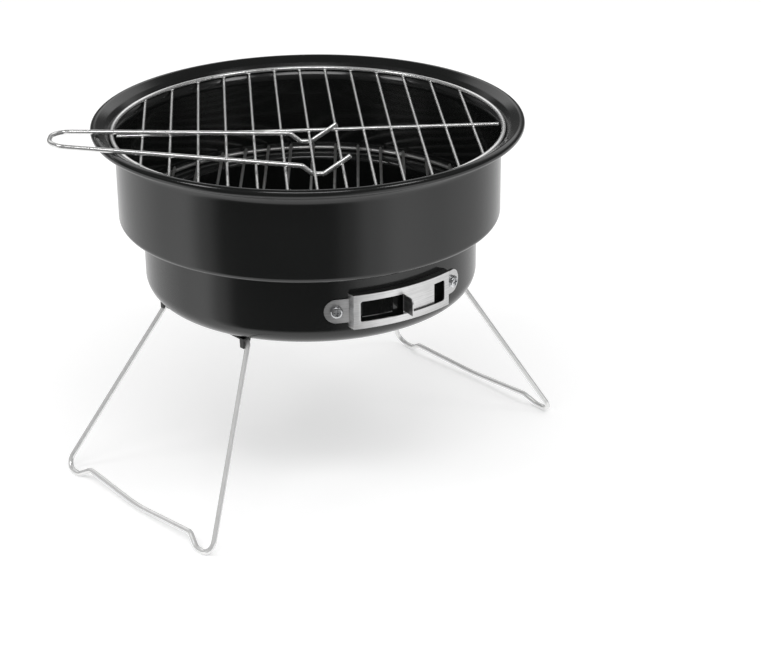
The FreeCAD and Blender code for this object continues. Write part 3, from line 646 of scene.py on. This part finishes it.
class Finish(NodeTree):
    """A node-based material on the Principled shader."""

    def __init__(self, name, color, roughness, metallic=0.0):
        self.material = bpy.data.materials.new(name)
        super().__init__(self.material)
        self.shader = self.nodes["Principled BSDF"]
        self.set("Base Color", (*color, 1.0))
        self.set("Roughness", roughness)
        self.set("Metallic", metallic)

    def set(self, socket, value):
        self.shader.inputs[socket].default_value = value

    def feed(self, socket, source):
        self.links.new(source, self.shader.inputs[socket])

    def place(self, output="Object", scale=(1.0, 1.0, 1.0)):
        """Coordinates on the piece, stretched by a scale."""
        coordinates = self.node("ShaderNodeTexCoord")
        mapping = self.node("ShaderNodeMapping", Scale=scale)
        self.links.new(coordinates.outputs[output], mapping.inputs["Vector"])
        return mapping.outputs["Vector"]

    def noise(self, place, scale, detail=3.0, roughness=0.5):
        made = self.node("ShaderNodeTexNoise", Scale=scale, Detail=detail, Roughness=roughness)
        self.links.new(place, made.inputs["Vector"])
        return made.outputs["Fac"]

    def spread(self, source, at_zero, at_one):
        """The source, from 0 to 1, spread between two values."""
        made = self.node("ShaderNodeMapRange", **{"To Min": at_zero, "To Max": at_one})
        self.links.new(source, made.inputs["Value"])
        return made.outputs["Result"]

    def product(self, first, second):
        made = self.node("ShaderNodeMath", operation="MULTIPLY")
        self.links.new(first, made.inputs[0])
        self.links.new(second, made.inputs[1])
        return made.outputs[0]

    def tone(self, source, dark, light, dark_to, light_from):
        """Base colour that goes from dark to light while the source rises between two values."""
        made = self.node("ShaderNodeValToRGB")
        stops = ((dark_to, dark), (light_from, light))
        for element, (position, color) in zip(made.color_ramp.elements, stops):
            element.position = position
            element.color = (*color, 1.0)
        self.links.new(source, made.inputs["Fac"])
        self.feed("Base Color", made.outputs["Color"])

    def bump(self, source, distance, strength):
        made = self.node("ShaderNodeBump", Strength=strength, Distance=distance)
        self.links.new(source, made.inputs["Height"])
        self.feed("Normal", made.outputs["Normal"])


def black_enamel():
    """Fired enamel: deep gloss, a faint orange peel, and a slow drift in its gloss."""
    finish = Finish("black_enamel", color=(0.006, 0.0065, 0.0062), roughness=0.16)
    place = finish.place()
    drift = finish.noise(place, scale=26.0, detail=4.0)
    clouds = finish.noise(place, scale=9.0, detail=2.0)
    peel = finish.noise(place, scale=520.0, detail=2.0, roughness=0.4)
    finish.tone(clouds, dark=(0.005, 0.0055, 0.0053), light=(0.008, 0.0085, 0.0082),
                dark_to=0.3, light_from=0.75)
    finish.feed("Roughness", finish.spread(drift, at_zero=0.12, at_one=0.21))
    finish.bump(peel, distance=0.02 * MM, strength=0.35)
    finish.set("Coat Weight", 0.25)
    finish.set("Coat Roughness", 0.06)
    return finish.material


def shade_black_bracket_finish():
    """Black on the small pressed brackets, duller than the bowl's, with a fine grain: painted shade, so
    that the brackets sink into the shadow under the bowl.
    """
    finish = Finish("bracket_enamel", color=(0.008, 0.0085, 0.0083), roughness=0.32)
    place = finish.place()
    grain = finish.noise(place, scale=1400.0, roughness=0.55)
    clouds = finish.noise(place, scale=60.0)
    finish.tone(clouds, dark=(0.007, 0.0075, 0.0073), light=(0.011, 0.0115, 0.0113),
                dark_to=0.3, light_from=0.7)
    finish.feed("Roughness", finish.spread(grain, at_zero=0.26, at_one=0.4))
    finish.bump(grain, distance=0.02 * MM, strength=0.3)
    return finish.material


def drawn_wire(name, bright, dull, smooth, rough, metallic):
    """Plated wire: fine lines along its length, and cloudy plating that is rough where it is dull."""
    finish = Finish(name, color=bright, roughness=smooth, metallic=metallic)
    lines = finish.noise(finish.place("UV", (1.0, 0.02, 1.0)), scale=9000.0, roughness=0.6)
    clouds = finish.noise(finish.place(), scale=140.0, detail=4.0, roughness=0.6)
    finish.tone(clouds, dark=dull, light=bright, dark_to=0.3, light_from=0.62)
    finish.feed("Roughness", finish.spread(clouds, at_zero=rough, at_one=smooth))
    finish.bump(lines, distance=0.02 * MM, strength=0.3)
    return finish.material


def brushed_steel():
    """Brushed sheet: grain that runs round the wall, with soft light and dark bands."""
    bright = (0.84, 0.84, 0.84)
    finish = Finish("vent_steel", color=bright, roughness=0.3, metallic=1.0)
    lines = finish.noise(finish.place(scale=(40.0, 40.0, 2600.0)), scale=1.0, detail=5.0, roughness=0.65)
    clouds = finish.noise(finish.place(), scale=110.0, detail=4.0, roughness=0.55)
    bands = finish.product(lines, finish.spread(clouds, at_zero=0.7, at_one=1.3))
    finish.tone(bands, dark=(0.55, 0.55, 0.55), light=bright, dark_to=0.25, light_from=0.6)
    finish.feed("Roughness", finish.spread(lines, at_zero=0.22, at_one=0.42))
    finish.bump(lines, distance=0.03 * MM, strength=0.35)
    return finish.material


def zinc_plate():
    """Zinc on small hardware: bright, with a fine crystal mottle."""
    finish = Finish("zinc_hardware", color=(0.78, 0.79, 0.8), roughness=0.24, metallic=1.0)
    mottle = finish.noise(finish.place(), scale=900.0, roughness=0.6)
    finish.tone(mottle, dark=(0.62, 0.63, 0.65), light=(0.86, 0.87, 0.88), dark_to=0.3, light_from=0.7)
    finish.feed("Roughness", finish.spread(mottle, at_zero=0.18, at_one=0.34))
    finish.bump(mottle, distance=0.02 * MM, strength=0.25)
    return finish.material


# Stage

def make_camera():
    """Camera that puts the middle of the rim on its pixel, turned by the roll."""
    azimuth, elevation, roll = (math.radians(value) for value in (VIEW_AZIMUTH, VIEW_ELEVATION, VIEW_ROLL))
    level = math.cos(elevation)
    forward = np.array([-math.sin(azimuth) * level, math.cos(azimuth) * level, -math.sin(elevation)])
    level_right = unit(np.cross(forward, UP))
    level_up = np.cross(level_right, forward)
    right = math.cos(roll) * level_right + math.sin(roll) * level_up
    up = -math.sin(roll) * level_right + math.cos(roll) * level_up
    across = (RIM_PIXEL[0] - PICTURE[0] / 2) / FOCAL_PIXELS * VIEW_DISTANCE
    above = (PICTURE[1] / 2 - RIM_PIXEL[1]) / FOCAL_PIXELS * VIEW_DISTANCE
    place = RIM_PLANE * UP - VIEW_DISTANCE * forward - across * right - above * up
    data = bpy.data.cameras.new("photo_camera")
    data.sensor_width = SENSOR
    data.lens = FOCAL_PIXELS / PICTURE[0] * SENSOR
    data.clip_start = CLIP_START
    data.clip_end = CLIP_END
    camera = bpy.data.objects.new("photo_camera", data)
    rows = np.stack([right, up, -forward], axis=1)
    camera.matrix_world = Matrix([[*rows[i], place[i]] for i in range(3)] + [[0.0, 0.0, 0.0, 1.0]])
    bpy.context.scene.collection.objects.link(camera)
    bpy.context.scene.camera = camera


class Studio(NodeTree):
    """World nodes; a level or a factor is a socket, or a plain number where it is the same everywhere."""

    def calculate(self, operation, first, second):
        made = self.node("ShaderNodeMath", operation=operation)
        for socket, value in zip(made.inputs, (first, second)):
            if isinstance(value, float):
                socket.default_value = value
            else:
                self.links.new(value, socket)
        return made.outputs[0]

    def ramp(self, share, stops):
        """Grey level that eases from stop to stop as the share goes from 0 to 1."""
        made = self.node("ShaderNodeValToRGB")
        made.color_ramp.interpolation = "EASE"
        elements = made.color_ramp.elements
        while len(elements) < len(stops):
            elements.new(0.5)
        for element, (position, level) in zip(elements, stops):
            element.position = position
            element.color = (level, level, level, 1.0)
        self.links.new(share, made.inputs["Fac"])
        return made.outputs["Color"]

    def by_bearing(self, share, levels):
        return self.ramp(share, [(0.5 + bearing / 360.0, level) for bearing, level in levels])

    def by_height(self, share, levels):
        stops = [(0.5 + 0.5 * math.sin(math.radians(height)), level) for height, level in levels]
        return self.ramp(share, stops)

    def mixed(self, share, first, second):
        made = self.node("ShaderNodeMix", data_type="RGBA")
        self.links.new(share, made.inputs["Factor"])
        for socket, level in (("A", first), ("B", second)):
            if isinstance(level, float):
                made.inputs[socket].default_value = (level, level, level, 1.0)
            else:
                self.links.new(level, made.inputs[socket])
        return made.outputs["Result"]

    def switched(self, ray, first, second):
        """The second shader for one kind of ray, and the first for all others."""
        path = self.node("ShaderNodeLightPath")
        made = self.node("ShaderNodeMixShader")
        self.links.new(path.outputs[ray], made.inputs["Fac"])
        self.links.new(first, made.inputs[1])
        self.links.new(second, made.inputs[2])
        return made.outputs[0]


def make_world():
    """White for the camera, plain light for the grill, and a studio's pale and dark walls in reflections.

    Below the horizon the walls' level follows the bearing, counted from the viewer with the
    picture's right side positive. Above it the ceiling is dark, with a pale screen behind the grill.
    """
    world = bpy.data.worlds.new("studio")
    bpy.context.scene.world = world
    studio = Studio(world)
    studio.nodes.clear()
    place = studio.node("ShaderNodeTexCoord")
    turn = studio.node("ShaderNodeMapping", vector_type="VECTOR")
    turn.inputs["Rotation"].default_value = (0.0, 0.0, math.radians(-VIEW_AZIMUTH))
    split = studio.node("ShaderNodeSeparateXYZ")
    studio.links.new(place.outputs["Generated"], turn.inputs["Vector"])
    studio.links.new(turn.outputs["Vector"], split.inputs["Vector"])
    x, y, z = split.outputs
    angle = studio.calculate("ARCTAN2", x, studio.calculate("MULTIPLY", y, -1.0))
    around = studio.calculate("ADD", studio.calculate("DIVIDE", angle, 2 * math.pi), 0.5)
    above = studio.calculate("ADD", studio.calculate("MULTIPLY", z, 0.5), 0.5)
    walls = studio.by_bearing(around, WALL_LEVELS)
    screen = studio.by_bearing(around, SCREEN_LEVELS)
    level = studio.mixed(studio.by_height(above, SCREEN_SHARES), CEILING_LEVEL, screen)
    level = studio.mixed(studio.by_height(above, WALL_SHARES), level, walls)
    level = studio.mixed(studio.by_height(above, FLOOR_SHARES), level, FLOOR_LEVEL)
    plain = studio.node("ShaderNodeBackground", Strength=WORLD_LEVEL)
    mirrored = studio.node("ShaderNodeBackground")
    studio.links.new(level, mirrored.inputs["Color"])
    white = studio.node("ShaderNodeBackground")
    light = studio.switched("Is Glossy Ray", plain.outputs[0], mirrored.outputs[0])
    seen = studio.switched("Is Camera Ray", light, white.outputs[0])
    out = studio.node("ShaderNodeOutputWorld")
    studio.links.new(seen, out.inputs["Surface"])


def make_floor():
    """Wide white floor that keeps a soft part of the shadow."""
    bpy.ops.mesh.primitive_plane_add(size=2 * FLOOR_REACH, location=(0.0, 0.0, 0.0))
    floor = bpy.context.object
    floor.name = "studio_floor"
    material = bpy.data.materials.new("studio_floor")
    tree = NodeTree(material)
    tree.nodes.clear()
    path = tree.node("ShaderNodeLightPath")
    matt = tree.node("ShaderNodeBsdfDiffuse", Color=(FLOOR_GREY, FLOOR_GREY, FLOOR_GREY, 1.0))
    share = tree.node("ShaderNodeMath", operation="MULTIPLY")
    share.inputs[1].default_value = FLOOR_GLOW
    glow = tree.node("ShaderNodeEmission")
    both = tree.node("ShaderNodeAddShader")
    out = tree.node("ShaderNodeOutputMaterial")
    tree.links.new(path.outputs["Is Camera Ray"], share.inputs[0])
    tree.links.new(share.outputs[0], glow.inputs["Strength"])
    tree.links.new(matt.outputs[0], both.inputs[0])
    tree.links.new(glow.outputs[0], both.inputs[1])
    tree.links.new(both.outputs[0], out.inputs["Surface"])
    floor.data.materials.append(material)
    floor.visible_glossy = False


def add_lamp(name, bearing, elevation, size, power):
    """Soft rectangular lamp that looks at the bowl from a bearing and a height."""
    data = bpy.data.lights.new(name, "AREA")
    data.shape = "RECTANGLE"
    data.size, data.size_y = size
    data.energy = power
    lamp = bpy.data.objects.new(name, data)
    flat = heading(bearing) * math.cos(math.radians(elevation))
    target = HEIGHT / 2 * UP
    place = target + LAMP_DISTANCE * (flat + math.sin(math.radians(elevation)) * UP)
    lamp.location = place
    lamp.rotation_euler = Vector(target - place).to_track_quat("-Z", "Y").to_euler()
    bpy.context.scene.collection.objects.link(lamp)


# The grill

def dress(obj, body, slot, material, *nodes):
    """Give a new piece its finish and its body, and hide the nodes that it stands for."""
    obj.data.materials.clear()
    obj.data.materials.append(material)
    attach(obj, body)
    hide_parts(*nodes)


def build_grate(grate, slot, material):
    """Ring, wires and crossbar of a grate, which move as one body."""
    ring = add_piece(f"{grate.kind}_ring", *torus_arrays(grate.ring_radius, grate.ring_wire, grate.ring_z))
    dress(ring, grate.node, slot, material, f"{grate.node}_ring")
    dress(make_grate_wires(grate), grate.node, slot, material, f"{grate.node}_wires")
    dress(make_crossbar(grate), grate.node, slot, material, f"{grate.node}_crossbar")


def build_vent(material):
    """The channel on the wall and the shutter that slides in it."""
    channel = softened_copy("vent_frame", "vent_channel", CHANNEL_ROUNDING)
    dress(channel, "bowl", "vent_steel", material, "vent_frame")
    shutter = softened_copy("vent_slider", "vent_shutter", SHUTTER_ROUNDING)
    dress(shutter, "shutter", "vent_steel", material, "vent_slider")


def build_fasteners(word, material):
    """The vent's screw and nut on one side."""
    for part, piece, rounding in (("screw", "pan_screw", SCREW_ROUNDING), ("nut", "hex_nut", NUT_ROUNDING)):
        node = f"vent_{word}_{part}"
        dress(softened_copy(node, f"{word}_{piece}", rounding), "bowl", "zinc_hardware", material, node)


def build_brackets(word, material):
    """The front and rear brackets of one leg."""
    for end in ("front", "rear"):
        node = f"{word}_{end}_leg_bracket"
        bracket = softened_copy(node, f"{word}_{end}_bracket", BRACKET_ROUNDING)
        dress(bracket, "bowl", "bracket_enamel", material, node)


def build_grill():
    bright_wire = drawn_wire("plated_wire", bright=(0.95, 0.95, 0.945), dull=(0.86, 0.86, 0.855),
                             smooth=0.16, rough=0.26, metallic=0.85)
    # The legs' wire is a lighter, less metallic copy of the plated wire: its diffuse white is painted
    # light, standing in for the bright reflections on the legs.
    lit_leg_wire = drawn_wire("lit_leg_wire", bright=(0.97, 0.97, 0.965), dull=(0.9, 0.9, 0.895),
                          smooth=0.14, rough=0.24, metallic=0.5)
    grey_wire = drawn_wire("grey_wire", bright=(0.66, 0.66, 0.65), dull=(0.48, 0.48, 0.47),
                           smooth=0.24, rough=0.4, metallic=0.9)
    # The brackets' black is painted shade: it makes them read as the shadow under the bowl.
    bracket_enamel = shade_black_bracket_finish()
    zinc = zinc_plate()

    dress(make_bowl(), "bowl", "black_enamel", black_enamel(), "fire_bowl")
    build_grate(COOKING_GRATE, "plated_wire", bright_wire)
    build_grate(CHARCOAL_GRATE, "grey_wire", grey_wire)
    dress(make_lifter(), "lifter", "plated_wire", bright_wire, "grate_lifter")
    for side, word in ((-1, "left"), (1, "right")):
        dress(make_leg(f"{word}_wire_leg", side), f"leg_{word}", "plated_wire", lit_leg_wire, f"{word}_leg")
    build_vent(brushed_steel())
    for word in ("left", "right"):
        build_fasteners(word, zinc)
        build_brackets(word, bracket_enamel)
    rivets = softened_copy("bracket_rivets", "floor_rivets", RIVET_ROUNDING)
    dress(rivets, "bowl", "zinc_hardware", zinc, "bracket_rivets")


make_camera()
make_world()
make_floor()
for lamp_name, turn_from_viewer, lamp_height, sides, watts in LAMPS:
    add_lamp(lamp_name, VIEWER_BEARING + turn_from_viewer, lamp_height, sides, watts)
bpy.context.scene.view_settings.view_transform = "Standard"
build_grill()
